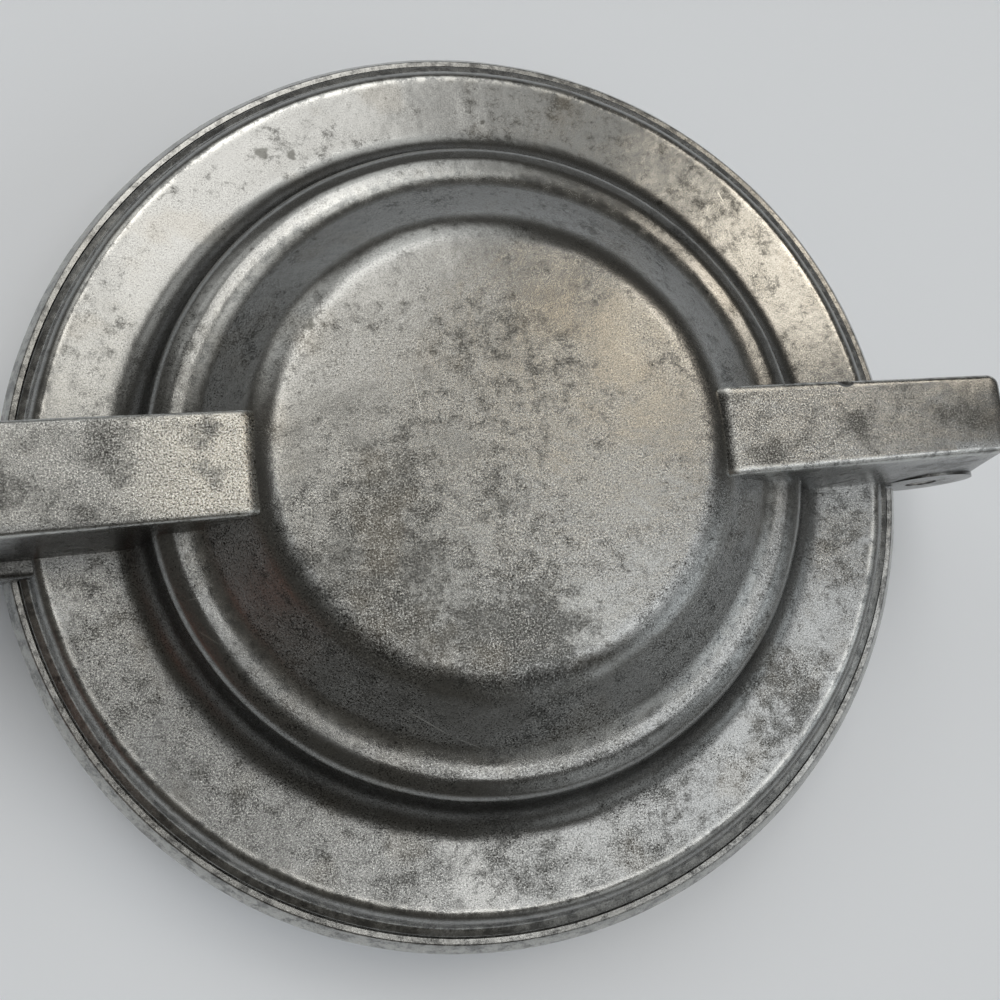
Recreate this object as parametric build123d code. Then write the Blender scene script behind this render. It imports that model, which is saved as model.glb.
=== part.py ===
from build123d import *
import os
from math import acos, asin, atan2, cos, degrees, hypot, radians, sin, sqrt, tan

# Round pie iron: two cast aluminium half moulds on a hinge, each with a steel rod and half of a turned wood grip.
# Millimetres. The origin is the centre of the flat plateau that the iron rests on, +Z is up and +X runs from the
# handles to the hinge. Each half is drawn dome up on the parting plane, and then placed; the lower one is turned over.

# Dome of each half mould, from its centre outwards
shell_depth = 17.1
plateau_radius = 25.8
slope_width = 7.6
crest_width = 3.0
shoulder_width = 2.1
cove_width = 2.1
ring_width = 11.9
roll_width = 1.4
lip_width = 1.1
crest_height = 11.2
crest_fall = 0.3
shoulder_fall = 1.0
ring_height = 3.3
lip_height = 0.7
wall = 2.6
plateau_round = 4.0
slope_round = 5.0
crest_round = 3.0
cove_round = 4.8
roll_round = 1.8
lip_round = 0.6

# Rims: the upper rim nests inside the lip of the lower rim
rim_tongue = 1.2
rim_tongue_width = 3.2
rim_gap = 0.3
lip_land = 0.7
rim_flare = 1.6
bead_height = 4.3
bead_width = 5.4
bead_round = 1.0

# Arms of the castings
arm_inset = 1.0
draft_angle = 3.0
arm_edge_round = 0.4
hinge_arm_root_width = 10.4
hinge_arm_tip_width = 9.4
hinge_arm_overhang = 1.3
handle_arm_root_width = 11.3
handle_arm_end_width = 13.0
handle_arm_reach = 88.0
handle_arm_end_height = 14.0
handle_arm_level = 4.0
arm_corner_round = 2.0
arm_top_steepest = 45.0
flange_width = 17.6
flange_end_width = 15.4
flange_drop = 0.5
flange_inset = 6.0
flange_straight = 12.0
flange_edge_round = 0.9

# Hinge
pin_beyond_rim = 2.5
knuckle_radius = 6.3
knuckle_gap = 0.5
tongue_width = 4.1
tongue_gap = 0.3
slot_front_height = 8.0
pin_radius = 2.0
pin_clearance = 0.05
pin_inset = 0.1
pin_chamfer = 0.3

# Handle rods and their rivets
rod_radius = 3.175
rod_height = 8.0
rod_depth = 26.0
bore_relief = 0.5
rod_chamfer = 0.5
rivet_radius = 1.6
rivet_head_radius = 3.0
rivet_head_height = 1.3
rivet_head_round = 1.0
rivet_boss_radius = 3.7
rivet_from_end = 12.0

# Grips: half barrels that meet near the parting plane
grip_front = 268.0
grip_length = 118.0
grip_gap = 0.35
grip_neck_radius = 13.9
grip_butt_neck_radius = 14.3
grip_butt_radius = 16.0
grip_swell_share = 0.52
grip_neck_slope = 0.1
grip_tail_slope = 0.2
butt_bead_length = 9.0
butt_round = 3.0
ferrule_radius = 14.3
ferrule_wall = 0.8
ferrule_length = 12.0
ferrule_round = 1.2
grip_pin_radius = 1.0
grip_pin_proud = 0.25
grip_pin_round = 0.4
washer_radius = 6.3
washer_thickness = 1.5
washer_edge_round = 0.4

# Latch
button_radius = 4.2
button_length = 3.2
button_round = 1.2
eye_thickness = 4.0
eye_radius = 4.4
wire_radius = 1.25
wire_clearance = 0.05
wire_bend = 3.2
loop_side_gap = 0.95
running_gap = 0.3
foot_gap = 0.4

# Radii of the dome's steps
slope_foot = plateau_radius + slope_width
crest_edge = slope_foot + crest_width
shoulder = crest_edge + shoulder_width
cove_foot = shoulder + cove_width
ring_edge = cove_foot + ring_width
lip_start = ring_edge + roll_width
upper_rim = lip_start + lip_width
tongue_inner = upper_rim - rim_tongue_width
lip_inner = upper_rim + rim_gap
lip_outer = lip_inner + lip_land
lower_rim = lip_outer + rim_flare

# Places that several pieces share
arm_start = plateau_radius + arm_inset
pin_x = lower_rim + pin_beyond_rim
relief_radius = knuckle_radius + knuckle_gap
arm_tip = pin_x + hinge_arm_overhang
slot_width = tongue_width + 2 * tongue_gap
flange_height = ring_height - flange_drop
rivet_x = -handle_arm_reach + rivet_from_end
rod_inner_end = -handle_arm_reach + rod_depth
ferrule_x = -grip_front
butt_x = -grip_front - grip_length
washer_x = butt_x - washer_thickness
grip_pin_x = ferrule_x - ferrule_length / 2
loop_reach = 2 * rod_height + button_radius + running_gap + wire_radius
loop_drop = button_radius - rod_radius
closed_lean = acos((loop_reach - loop_drop) / loop_reach)
button_x = washer_x - loop_reach * sin(closed_lean) - wire_radius - running_gap
loop_half_width = button_radius + loop_side_gap + wire_radius
laid_back = asin((shell_depth - rod_height - wire_radius) / loop_reach)

upper_place = Pos(0, 0, shell_depth)
lower_place = Pos(0, 0, shell_depth) * Rot(180, 0, 0)


def xz_face(points):
    """Closed flat face through points given as (x, z)."""
    return make_face(Polyline(*[(x, 0, z) for x, z in points], close=True))


def rounded(face, corners):
    """Round corners of a flat face, each given as (x, z, radius)."""
    for x, z, radius in corners:
        face = fillet(face.vertices().sort_by_distance((x, 0, z))[0], radius)
    return face


def bar_across(face, half_width):
    """Extrude a face in XZ to both sides, along Y."""
    return extrude(face, amount=half_width, both=True)


def knuckle_disc(radius):
    """Round face about the hinge axis."""
    return Plane.XZ * Pos(pin_x, 0) * Circle(radius)


def x_cylinder(radius, start, end, z=0):
    """Round bar along X between two places."""
    middle = (start + end) / 2
    return Pos(middle, 0, z) * Rot(0, 90, 0) * Cylinder(radius, abs(end - start))


def y_cylinder(radius, length, x, z):
    """Round bar along Y, centred on the XZ plane."""
    return Pos(x, 0, z) * Rot(90, 0, 0) * Cylinder(radius, length)


def hinge_arm_half_width(x):
    """Half width of the hinge arm's top face."""
    share = (x - arm_start) / (arm_tip - arm_start)
    return (hinge_arm_root_width + share * (hinge_arm_tip_width - hinge_arm_root_width)) / 2


def handle_arm_half_width(x):
    """Half width of the handle arm's top face, x measured towards the handle."""
    share = (x - arm_start) / (handle_arm_reach - arm_start)
    return (handle_arm_root_width + share * (handle_arm_end_width - handle_arm_root_width)) / 2


def draft_at(height):
    """How far a drafted arm wall stands out at a height, beyond its top face."""
    return (shell_depth - height) * tan(radians(draft_angle))


dome_steps = [
    (0, shell_depth),
    (plateau_radius, shell_depth),
    (slope_foot, crest_height),
    (crest_edge, crest_height - crest_fall),
    (shoulder, crest_height - crest_fall - shoulder_fall),
    (cove_foot, ring_height),
    (ring_edge, ring_height),
]
dome_rounds = [
    (plateau_radius, shell_depth, plateau_round),
    (slope_foot, crest_height, slope_round),
    (crest_edge, crest_height - crest_fall, crest_round),
    (cove_foot, ring_height, cove_round),
]


def cavity():
    """The space inside a half mould: the dome's outline moved in by the wall."""
    edge = tongue_inner + wall
    right = dome_steps[:-1] + [(edge, ring_height), (edge, -shell_depth)]
    left = [(-x, z) for x, z in reversed(right)]
    hollow = offset(xz_face(right[1:] + left[:-1]), -wall, kind=Kind.INTERSECTION)
    half = Plane.XZ * Rectangle(2 * upper_rim, 4 * shell_depth, align=(Align.MIN, Align.CENTER))
    face = hollow & half
    corners = [
        (plateau_radius - wall / 2, shell_depth - wall, plateau_round / 2),
        (slope_foot - wall / 2, crest_height - wall, slope_round),
        (cove_foot - wall, ring_height - wall, cove_round / 2),
    ]
    return revolve(rounded(face, corners), Axis.Z)


def upper_dome():
    """Outer form of the upper half mould, solid, with its rim tongue."""
    rim = [(lip_start, lip_height), (upper_rim, lip_height), (upper_rim, -rim_tongue), (0, -rim_tongue)]
    rounds = dome_rounds + [(ring_edge, ring_height, roll_round), (lip_start, lip_height, lip_round)]
    return revolve(rounded(xz_face(dome_steps + rim), rounds), Axis.Z)


def lower_dome():
    """Outer form of the lower half mould, solid, with its bead and raised lip."""
    bead_start = lower_rim - bead_width
    rim = [
        (bead_start, ring_height),
        (bead_start + bead_height - ring_height, bead_height),
        (lower_rim, bead_height),
        (lower_rim, bead_height / 2),
        (lip_outer, 0),
        (0, 0),
    ]
    rounds = dome_rounds + [(lower_rim, bead_height, bead_round), (lower_rim, bead_height / 2, bead_round)]
    return revolve(rounded(xz_face(dome_steps[:-1] + rim), rounds), Axis.Z)


def rim_seat():
    """Rebate in the lower rim that takes the tongue of the upper rim."""
    depth = rim_tongue + rim_gap
    return Pos(0, 0, depth / 2) * (Cylinder(lip_inner, depth) - Cylinder(tongue_inner - rim_gap, 2 * depth))


def drafted_bar(plan, base):
    """Arm between the parting plane and the plateau's level, narrowing upwards, with eased top edges."""
    return extrude(Pos(0, 0, base) * plan, amount=shell_depth - base, taper=draft_angle)


def hinge_arm(base, tip_corners):
    """Arm towards the hinge; tip_corners close its side outline beyond the top face."""
    grow = draft_at(base)
    inner = arm_start - 4 * grow
    outer = pin_x + 2 * knuckle_radius
    near = hinge_arm_half_width(inner) + grow
    far = hinge_arm_half_width(outer) + grow
    plan = make_face(Polyline((inner, -near), (outer, -far), (outer, far), (inner, near), close=True))
    side = xz_face([(arm_start, base), (arm_start, shell_depth)] + tip_corners)
    arm = drafted_bar(plan, base) & bar_across(side, 2 * near)
    top = arm.faces().sort_by(Axis.Z)[-1]
    return fillet(top.edges(), arm_edge_round)


def handle_arm(base):
    """Arm towards the handle: a tall rib on a flat flange, bored for the rod."""
    grow = draft_at(base)
    inner = arm_start - 4 * grow
    near = handle_arm_half_width(inner) + grow
    far = handle_arm_half_width(handle_arm_reach) + grow
    end = -handle_arm_reach
    plan = make_face(Polyline((-inner, near), (end, far), (end, -far), (-inner, -near), close=True))
    plan = fillet(plan.vertices().group_by(Axis.X)[0], arm_corner_round)
    level_end = -(lower_rim + handle_arm_level)
    side = xz_face([
        (-arm_start, base),
        (-arm_start, shell_depth),
        (level_end, shell_depth),
        (end, handle_arm_end_height),
        (end, base),
    ])
    rib = drafted_bar(plan, base) & bar_across(side, 2 * far)
    tops = rib.faces().filter_by(lambda face: face.normal_at().Z > cos(radians(arm_top_steepest)))
    rib = fillet(tops.edges().filter_by(lambda edge: edge.center().Z > rod_height), arm_edge_round)
    wide = flange_width / 2
    narrow = flange_end_width / 2
    start = -(upper_rim - flange_inset)
    bend = -(upper_rim + flange_straight)
    outline = Polyline(
        (start, wide), (bend, wide), (end, narrow), (end, -narrow), (bend, -wide), (start, -wide), close=True
    )
    plate = make_face(outline)
    plate = fillet(plate.vertices().group_by(Axis.X)[0], arm_corner_round)
    flange = extrude(Pos(0, 0, base) * plate, amount=flange_height - base)
    flange = fillet(flange.faces().sort_by(Axis.Z)[-1].edges(), flange_edge_round)
    boss_half = handle_arm_half_width(handle_arm_reach) + draft_at(rod_height - rivet_boss_radius)
    boss = y_cylinder(rivet_boss_radius, 2 * boss_half, rivet_x, rod_height)
    arm = rib + flange + boss
    arm -= x_cylinder(rod_radius, rod_inner_end + bore_relief, -2 * handle_arm_reach, rod_height)
    return arm - y_cylinder(rivet_radius, 4 * boss_half, rivet_x, rod_height)


def ear_half_width():
    """Half of the fork's width over its two ears."""
    return hinge_arm_half_width(pin_x) + draft_at(0)


def upper_shell():
    """Upper half mould: dome, two arms, and a fork on the hinge arm."""
    corner_angle = atan2(shell_depth, hinge_arm_overhang)
    tangent = corner_angle - acos(knuckle_radius / hypot(hinge_arm_overhang, shell_depth))
    nose = (pin_x + knuckle_radius * cos(tangent), knuckle_radius * sin(tangent))
    tip_corners = [(arm_tip, shell_depth), nose, (pin_x, rim_gap)]
    casting = upper_dome() + hinge_arm(rim_gap, tip_corners) + handle_arm(rim_gap)
    casting += bar_across(knuckle_disc(knuckle_radius), ear_half_width())
    casting -= cavity()
    below = xz_face([
        (pin_x - relief_radius, -2 * knuckle_radius),
        (pin_x - relief_radius, 0),
        (pin_x, 0),
        (pin_x, slot_front_height),
        (pin_x + 2 * knuckle_radius, slot_front_height),
        (pin_x + 2 * knuckle_radius, -2 * knuckle_radius),
    ])
    casting -= bar_across(below, slot_width / 2)
    casting -= bar_across(knuckle_disc(relief_radius), slot_width / 2)
    return casting - y_cylinder(pin_radius, 4 * knuckle_radius, pin_x, 0)


def lower_shell():
    """Lower half mould, drawn dome up: dome with raised lip, two arms, and a tongue on the hinge arm."""
    tip_corners = [(pin_x, shell_depth), (pin_x, 0)]
    casting = lower_dome() + hinge_arm(0, tip_corners) + handle_arm(0)
    casting -= cavity()
    casting -= rim_seat()
    casting -= bar_across(knuckle_disc(relief_radius), ear_half_width() + tongue_gap)
    neck = xz_face([
        (pin_x - knuckle_radius, 0),
        (pin_x - knuckle_radius, shell_depth / 2),
        (pin_x, shell_depth / 2),
        (pin_x, 0),
    ])
    casting += bar_across(neck, tongue_width / 2)
    casting += bar_across(knuckle_disc(knuckle_radius), tongue_width / 2)
    return casting - y_cylinder(pin_radius + pin_clearance, 4 * knuckle_radius, pin_x, 0)


def hinge_pin():
    """Steel pin, pressed into the ears and free in the tongue."""
    pin = y_cylinder(pin_radius, 2 * (ear_half_width() - pin_inset), pin_x, 0)
    return chamfer(pin.edges(), pin_chamfer)


def rod_body(end):
    """Plain part of a handle rod, drilled for its two cross pins."""
    rod = x_cylinder(rod_radius, rod_inner_end, end, rod_height)
    rod = chamfer(rod.edges().sort_by(Axis.X)[-1], rod_chamfer)
    rod -= y_cylinder(rivet_radius, 4 * rod_radius, rivet_x, rod_height)
    return rod - y_cylinder(grip_pin_radius, 4 * rod_radius, grip_pin_x, rod_height)


def upper_rod():
    """Rod whose end is upset into a button for the latch."""
    outer = button_x - button_length / 2
    button = x_cylinder(button_radius, button_x + button_length / 2, outer, rod_height)
    button = fillet(button.edges(), button_round)
    return rod_body(button_x) + button


def lower_rod():
    """Rod whose end is flattened into an eye for the latch loop."""
    eye = y_cylinder(eye_radius, eye_thickness, button_x, rod_height)
    shank = x_cylinder(rod_radius, button_x, button_x + eye_radius, rod_height)
    shank &= Pos(button_x, 0, rod_height) * Box(4 * eye_radius, eye_thickness, 4 * rod_radius)
    rod = rod_body(button_x + eye_radius / 2) + eye + shank
    return rod - y_cylinder(wire_radius + wire_clearance, 4 * eye_thickness, button_x, rod_height)


def socket_rivet():
    """Rivet across a handle arm, with a domed head on each side."""
    boss_half = handle_arm_half_width(handle_arm_reach) + draft_at(rod_height - rivet_boss_radius)
    rivet = y_cylinder(rivet_radius, 2 * boss_half, rivet_x, rod_height)
    head = Rot(-90, 0, 0) * extrude(Circle(rivet_head_radius), amount=rivet_head_height)
    head = fillet(head.edges().sort_by(Axis.Y)[-1], rivet_head_round)
    head = Pos(rivet_x, boss_half, rod_height) * head
    return rivet + head + mirror(head, Plane.XZ)


def half_round(face):
    """Turn an outline in XZ about the X axis and keep the half beyond the grip gap."""
    length = 2 * grip_length
    keep = Pos(butt_x - length / 4, 0, grip_gap) * Box(
        length, length, length, align=(Align.MIN, Align.CENTER, Align.MIN))
    return revolve(face, Axis.X) & keep


def grip():
    """Half of a turned barrel: tenon for the ferrule, swell, and a bead with a rounded butt."""
    tenon_end = ferrule_x - ferrule_length
    swell_x = tenon_end - grip_swell_share * grip_length
    bead_x = butt_x + butt_bead_length
    body = Spline(
        (tenon_end, 0, grip_neck_radius),
        (swell_x, 0, shell_depth),
        (bead_x, 0, grip_butt_neck_radius),
        tangents=[(-1, 0, grip_neck_slope), (-1, 0, 0), (-1, 0, -grip_tail_slope)],
    )
    tenon_radius = ferrule_radius - ferrule_wall
    tenon_face = ferrule_x - ferrule_wall
    front = Polyline(
        (tenon_end, 0, grip_neck_radius), (tenon_end, 0, tenon_radius), (tenon_face, 0, tenon_radius),
        (tenon_face, 0, 0), (butt_x, 0, 0), (butt_x, 0, grip_butt_radius), (bead_x, 0, grip_butt_radius),
        (bead_x, 0, grip_butt_neck_radius),
    )
    outline = make_face(body + front)
    outline = rounded(outline, [
        (butt_x, grip_butt_radius, butt_round),
        (bead_x, grip_butt_radius, butt_round / 2),
    ])
    wood = half_round(outline)
    flat = Pos(tenon_end, 0, grip_gap) * Box(
        ferrule_length, 4 * ferrule_radius, ferrule_wall, align=(Align.MIN, Align.CENTER, Align.MIN))
    wood -= flat
    wood -= x_cylinder(rod_radius, 0, 2 * butt_x, rod_height)
    return wood - y_cylinder(grip_pin_radius, 4 * ferrule_radius, grip_pin_x, rod_height)


def ferrule():
    """Half-round steel cap on the front of a grip."""
    back = ferrule_x - ferrule_length
    outer = rounded(xz_face([(ferrule_x, 0), (ferrule_x, ferrule_radius), (back, ferrule_radius), (back, 0)]),
                    [(ferrule_x, ferrule_radius, ferrule_round)])
    bore = ferrule_radius - ferrule_wall
    floor = ferrule_x - ferrule_wall
    inner = xz_face([(floor, 0), (floor, bore), (back, bore), (back, 0)])
    core = half_round(inner) - Pos(back, 0, grip_gap) * Box(
        ferrule_length, 4 * ferrule_radius, ferrule_wall, align=(Align.MIN, Align.CENTER, Align.MIN))
    cap = half_round(outer) - core
    cap -= x_cylinder(rod_radius, 0, 2 * ferrule_x, rod_height)
    return cap - y_cylinder(grip_pin_radius, 4 * ferrule_radius, grip_pin_x, rod_height)


def grip_pin():
    """Pin through ferrule, wood and rod."""
    half = sqrt(ferrule_radius ** 2 - rod_height ** 2) + grip_pin_proud
    pin = y_cylinder(grip_pin_radius, 2 * half, grip_pin_x, rod_height)
    return fillet(pin.edges(), grip_pin_round)


def butt_washer():
    """Washer between the grip's butt and the end of the rod."""
    washer = x_cylinder(washer_radius, butt_x, washer_x, rod_height)
    washer = fillet(washer.edges().sort_by(Axis.X)[0], washer_edge_round)
    return washer - x_cylinder(rod_radius, 0, 2 * butt_x, rod_height)


def latch_loop():
    """Wire loop laid back on the resting surface, its feet in the eye of the lower rod."""
    foot = foot_gap / 2
    side = loop_half_width
    path = FilletPolyline(
        (0, foot, 0), (0, side, 0), (-loop_reach, side, 0), (-loop_reach, -side, 0), (0, -side, 0), (0, -foot, 0),
        radius=wire_bend,
    )
    start = Plane(origin=(0, foot, 0), z_dir=(0, 1, 0))
    wire = sweep(start * Circle(wire_radius), path=path)
    return Pos(button_x, 0, shell_depth - rod_height) * Rot(0, -degrees(laid_back), 0) * wire


def write(shape, node):
    """Write one piece to its own STEP file."""
    export_step(shape, "parts/" + node + ".step")


os.makedirs("parts", exist_ok=True)
halves = {"upper": upper_place, "lower": lower_place}
shells = {"upper": upper_shell(), "lower": lower_shell()}
rods = {"upper": upper_rod(), "lower": lower_rod()}
handle_pieces = {
    "socket_rivet": socket_rivet(),
    "grip": grip(),
    "ferrule": ferrule(),
    "grip_pin": grip_pin(),
    "butt_washer": butt_washer(),
}
for half, place in halves.items():
    write(place * shells[half], half + "_shell")
    write(place * rods[half], half + "_rod")
    for piece, shape in handle_pieces.items():
        write(place * shape, half + "_" + piece)
write(upper_place * hinge_pin(), "hinge_pin")
write(latch_loop(), "latch_loop")
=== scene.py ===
import math

import bmesh
import bpy
from mathutils import Matrix, Vector, noise


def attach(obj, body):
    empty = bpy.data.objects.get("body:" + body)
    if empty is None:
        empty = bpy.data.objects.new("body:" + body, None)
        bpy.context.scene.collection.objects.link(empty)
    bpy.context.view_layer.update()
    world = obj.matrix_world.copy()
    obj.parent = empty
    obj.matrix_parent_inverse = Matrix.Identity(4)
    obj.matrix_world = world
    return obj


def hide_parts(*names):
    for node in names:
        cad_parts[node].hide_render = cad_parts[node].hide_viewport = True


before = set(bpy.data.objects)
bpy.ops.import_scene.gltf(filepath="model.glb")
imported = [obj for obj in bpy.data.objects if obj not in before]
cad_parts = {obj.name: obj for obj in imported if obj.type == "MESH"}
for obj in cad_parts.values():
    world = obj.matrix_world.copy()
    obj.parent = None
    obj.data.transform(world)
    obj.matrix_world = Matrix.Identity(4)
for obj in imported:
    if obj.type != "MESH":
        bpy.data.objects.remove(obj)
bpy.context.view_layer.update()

bl_info = {
    "name": "Pie Iron",
    "version": (1, 0, 0),
    "blender": (4, 5, 0),
    "location": "View3D > Sidebar > Pie Iron",
    "description": "Builds a hinged cast aluminium pie iron with steel rods and turned wood grips",
    "category": "Object",
}

MM = 0.001

# Height of the parting plane above the table, and the dome of each half mould by its radii and by its heights
# above that plane, all in millimetres, as everywhere here until settle() brings a piece to metres
PARTING = 17.1
PLATEAU_RADIUS = 25.8
SLOPE_FOOT = 33.4
CREST_EDGE = 36.4
SHOULDER = 38.5
COVE_FOOT = 40.6
RING_EDGE = 52.5
LIP_START = 53.9
UPPER_RIM = 55.0
LIP_INNER = 55.3
LIP_OUTER = 56.0
LOWER_RIM = 57.6
CREST = 11.2
CREST_END = 10.9
SHOULDER_TOP = 9.9
RING = 3.3
LIP = 0.7
WALL = 2.6
TONGUE = 1.2
TONGUE_INNER = 51.8
SEAT_DEPTH = 1.5
BEAD = 4.3
BEAD_WIDTH = 5.4
PLATEAU_ROUND = 6.5
SLOPE_ROUND = 5.0
CREST_ROUND = 3.0
SHOULDER_ROUND = 2.0
COVE_ROUND = 4.8
ROLL_ROUND = 1.8
BEAD_ROUND = 1.0

# Arms and hinge
ARM_START = 26.8
HINGE_ARM_ROOT = 10.4
HINGE_ARM_TIP = 9.4
HANDLE_ARM_ROOT = 11.3
HANDLE_ARM_END = 13.0
HANDLE_REACH = 88.0
HANDLE_LEVEL_END = 61.6
HANDLE_END_HEIGHT = 14.0
ARM_EDGE = 0.6
ARM_FOOT = 1.4
ARM_FALL = 1.1
DRAFT = math.tan(math.radians(3.0))
FLANGE_WIDTH = 17.6
FLANGE_END_WIDTH = 15.4
FLANGE_HEIGHT = 2.8
FLANGE_START = 49.0
FLANGE_BEND = 67.0
PIN_X = 60.1
KNUCKLE = 6.3
KNUCKLE_GAP = 0.5
TONGUE_WIDTH = 4.1
SLOT_WIDTH = 4.7
SLOT_FRONT = 8.0
ARM_TIP = 61.4
PIN_RADIUS = 2.0
EAR_CORNER = 1.3
PLATE_CORNER = 2.0
PLATE_EDGE = 0.9
CHIP_RADIUS = 2.0
CHIP_PLACE = (41.6, 5.7, PARTING + 1.3)
RIM_GAP = 0.3
EAR_ROOM = 0.6
CAST_FIT = 0.02
PIN_PLAY = 0.05

# Rods, fasteners and grips
ROD_RADIUS = 3.175
ROD_HEIGHT = 8.0
ROD_START = -62.0
RIVET_X = -76.0
RIVET_RADIUS = 1.6
RIVET_HEAD = 3.0
RIVET_DOME = 1.3
BOSS = 3.7
GRIP_FRONT = -268.0
GRIP_BUTT = -386.0
GRIP_GAP = 0.35
NECK_RADIUS = 13.9
BUTT_NECK_RADIUS = 14.3
BUTT_RADIUS = 16.0
BUTT_BEAD = 9.0
SWELL_SHARE = 0.52
GRIP_EDGE = 0.4
FERRULE_RADIUS = 14.3
FERRULE_WALL = 0.8
FERRULE_LENGTH = 12.0
FERRULE_ROUND = 1.2
FERRULE_EDGE = 0.25
FERRULE_FIT = 0.02
BORE_FIT = 0.01
GRIP_PIN_X = -274.0
GRIP_PIN_RADIUS = 1.0
PIN_PROUD = 0.25
WASHER_RADIUS = 6.3
WASHER_THICKNESS = 1.5
BUTTON_X = -395.648
BUTTON_RADIUS = 4.2
BUTTON_HALF = 1.6
EYE_THICKNESS = 4.0
EYE_RADIUS = 4.4
EYE_PLAY = 0.06
WIRE_RADIUS = 1.25
WIRE_BEND = 3.2
LOOP_REACH = 21.75
LOOP_HALF = 6.4
LOOP_LEAN = math.radians(21.157)

# Camera: its place in millimetres, and where its right side and its back point
CAMERA_PLACE = (-19.5, -21.2, 139.5)
CAMERA_RIGHT = Vector((0.9819, -0.0994, 0.1613))
CAMERA_BACK = Vector((-0.1743, -0.1404, 0.9746))
CAMERA_LENS = 36.04
SENSOR_WIDTH = 36.0
FLOOR_SIZE = 30.0

# Places closer than this, in millimetres, are one
WELD = 0.0005
# Faces that meet at more than this angle keep a sharp edge
SHARP = math.radians(32)
# Picks the pattern of the cast surface's low waves; without a seed of its own it would differ from run to run
WAVE_SEED = 1

# Elevations below which the room is pale and above which it is dim, and the strength of its light
PALE_BELOW = math.radians(5)
DIM_ABOVE = math.radians(17)
ROOM_STRENGTH = 1.25

# Each half is drawn upwards from the parting plane; the lower one is turned over
UPPER = Matrix.Translation((0, 0, PARTING))
LOWER = UPPER @ Matrix.Rotation(math.pi, 4, "X")
HALVES = {"upper": UPPER, "lower": LOWER}


class PieIronFinish(bpy.types.PropertyGroup):
    """Colours and surface sizes that a user would change."""

    metal: bpy.props.FloatVectorProperty(
        name="Aluminium", description="Colour of the clean casting", subtype="COLOR", size=3,
        default=(0.254, 0.258, 0.253))
    stain: bpy.props.FloatVectorProperty(
        name="Stain", description="Colour of the casting where fire and grease have stained it",
        subtype="COLOR", size=3, default=(0.085, 0.086, 0.083))
    wood: bpy.props.FloatVectorProperty(
        name="Wood", description="Light tone of the stained grips", subtype="COLOR", size=3,
        default=(0.254, 0.077, 0.021))
    waviness: bpy.props.FloatProperty(
        name="Waviness", description="How far the cast surface wanders", unit="LENGTH", default=0.00005)


def srgb(code):
    """Linear colour with alpha from an sRGB hex code."""
    channels = [int(code[i:i + 2], 16) / 255 for i in (0, 2, 4)]
    return [c / 12.92 if c <= 0.04045 else ((c + 0.055) / 1.055) ** 2.4 for c in channels] + [1.0]


def per(size):
    """Texture scale for a pattern whose features are this many millimetres wide."""
    return 1 / (size * MM)


# ---- shapes

def wire(corners, step=0.9, segments=8):
    """Open outline in XZ through (x, z, round) corners, with long runs cut into steps."""
    bm = bmesh.new()
    verts = [bm.verts.new((x, 0, z)) for x, z, _ in corners]
    for one, two in zip(verts, verts[1:]):
        bm.edges.new((one, two))
    for vert, (_, _, radius) in zip(verts, corners):
        if radius:
            one, two = [edge.other_vert(vert).co - vert.co for edge in vert.link_edges]
            reach = radius * math.tan((math.pi - one.angle(two)) / 2)
            bmesh.ops.bevel(bm, geom=[vert], offset=reach, offset_type="OFFSET", segments=segments,
                            profile=0.5, affect="VERTICES", material=-1)
    for edge in list(bm.edges):
        cuts = int(edge.calc_length() / step)
        if cuts:
            bmesh.ops.subdivide_edges(bm, edges=[edge], cuts=cuts)
    return bm


def turn(bm, steps):
    """Spin an outline all the way round Z: a quarter by spinning, and the rest by mirroring it."""
    bmesh.ops.spin(bm, geom=bm.verts[:] + bm.edges[:], cent=(0, 0, 0), axis=(0, 0, 1), angle=math.pi / 2,
                   steps=steps // 4, use_merge=False)
    bmesh.ops.remove_doubles(bm, verts=bm.verts[:], dist=WELD)
    for axis in ("X", "Y"):
        bmesh.ops.mirror(bm, geom=bm.verts[:] + bm.edges[:] + bm.faces[:], merge_dist=WELD, axis=axis)
    bmesh.ops.recalc_face_normals(bm, faces=bm.faces[:])
    return bm


def prism(points, run):
    """Solid that grows from a flat outline along a vector, its normals still to be set."""
    bm = bmesh.new()
    face = bm.faces.new([bm.verts.new(point) for point in points])
    grown = bmesh.ops.extrude_face_region(bm, geom=[face])["geom"]
    moved = [item for item in grown if isinstance(item, bmesh.types.BMVert)]
    bmesh.ops.translate(bm, verts=moved, vec=run)
    return bm


def slab(points, half_width):
    """Solid with a side outline given as (x, z), and half_width(x, z) to each side."""
    bm = prism([(x, -1, z) for x, z in points], (0, 2, 0))
    for vert in bm.verts:
        vert.co.y *= half_width(vert.co.x, vert.co.z)
    bmesh.ops.recalc_face_normals(bm, faces=bm.faces[:])
    return bm


def plate(points, low, high):
    """Solid with a plan given as (x, y), between two heights."""
    bm = prism([(x, y, low) for x, y in points], (0, 0, high - low))
    bmesh.ops.recalc_face_normals(bm, faces=bm.faces[:])
    return bm


def slice_up(bm, start, end, step, axis):
    """Cut a solid's faces by parallel planes, so that its surface can wander."""
    count = int((end - start) / step)
    normal = Vector([float(i == axis) for i in range(3)])
    for i in range(1, count):
        where = normal * (start + (end - start) * i / count)
        geom = bm.verts[:] + bm.edges[:] + bm.faces[:]
        bmesh.ops.bisect_plane(bm, geom=geom, plane_co=where, plane_no=normal)


def bar(radius, length, x, z, turned_about, segments):
    """Round bar about a place, upright until it is turned about an axis."""
    bm = bmesh.new()
    matrix = Matrix.Translation((x, 0, z)) @ Matrix.Rotation(math.pi / 2, 4, turned_about)
    bmesh.ops.create_cone(bm, cap_ends=True, segments=segments, radius1=radius, radius2=radius, depth=length,
                          matrix=matrix)
    return bm


def bar_y(radius, length, x, z, segments=48):
    """Round bar along Y."""
    return bar(radius, length, x, z, "X", segments)


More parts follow.
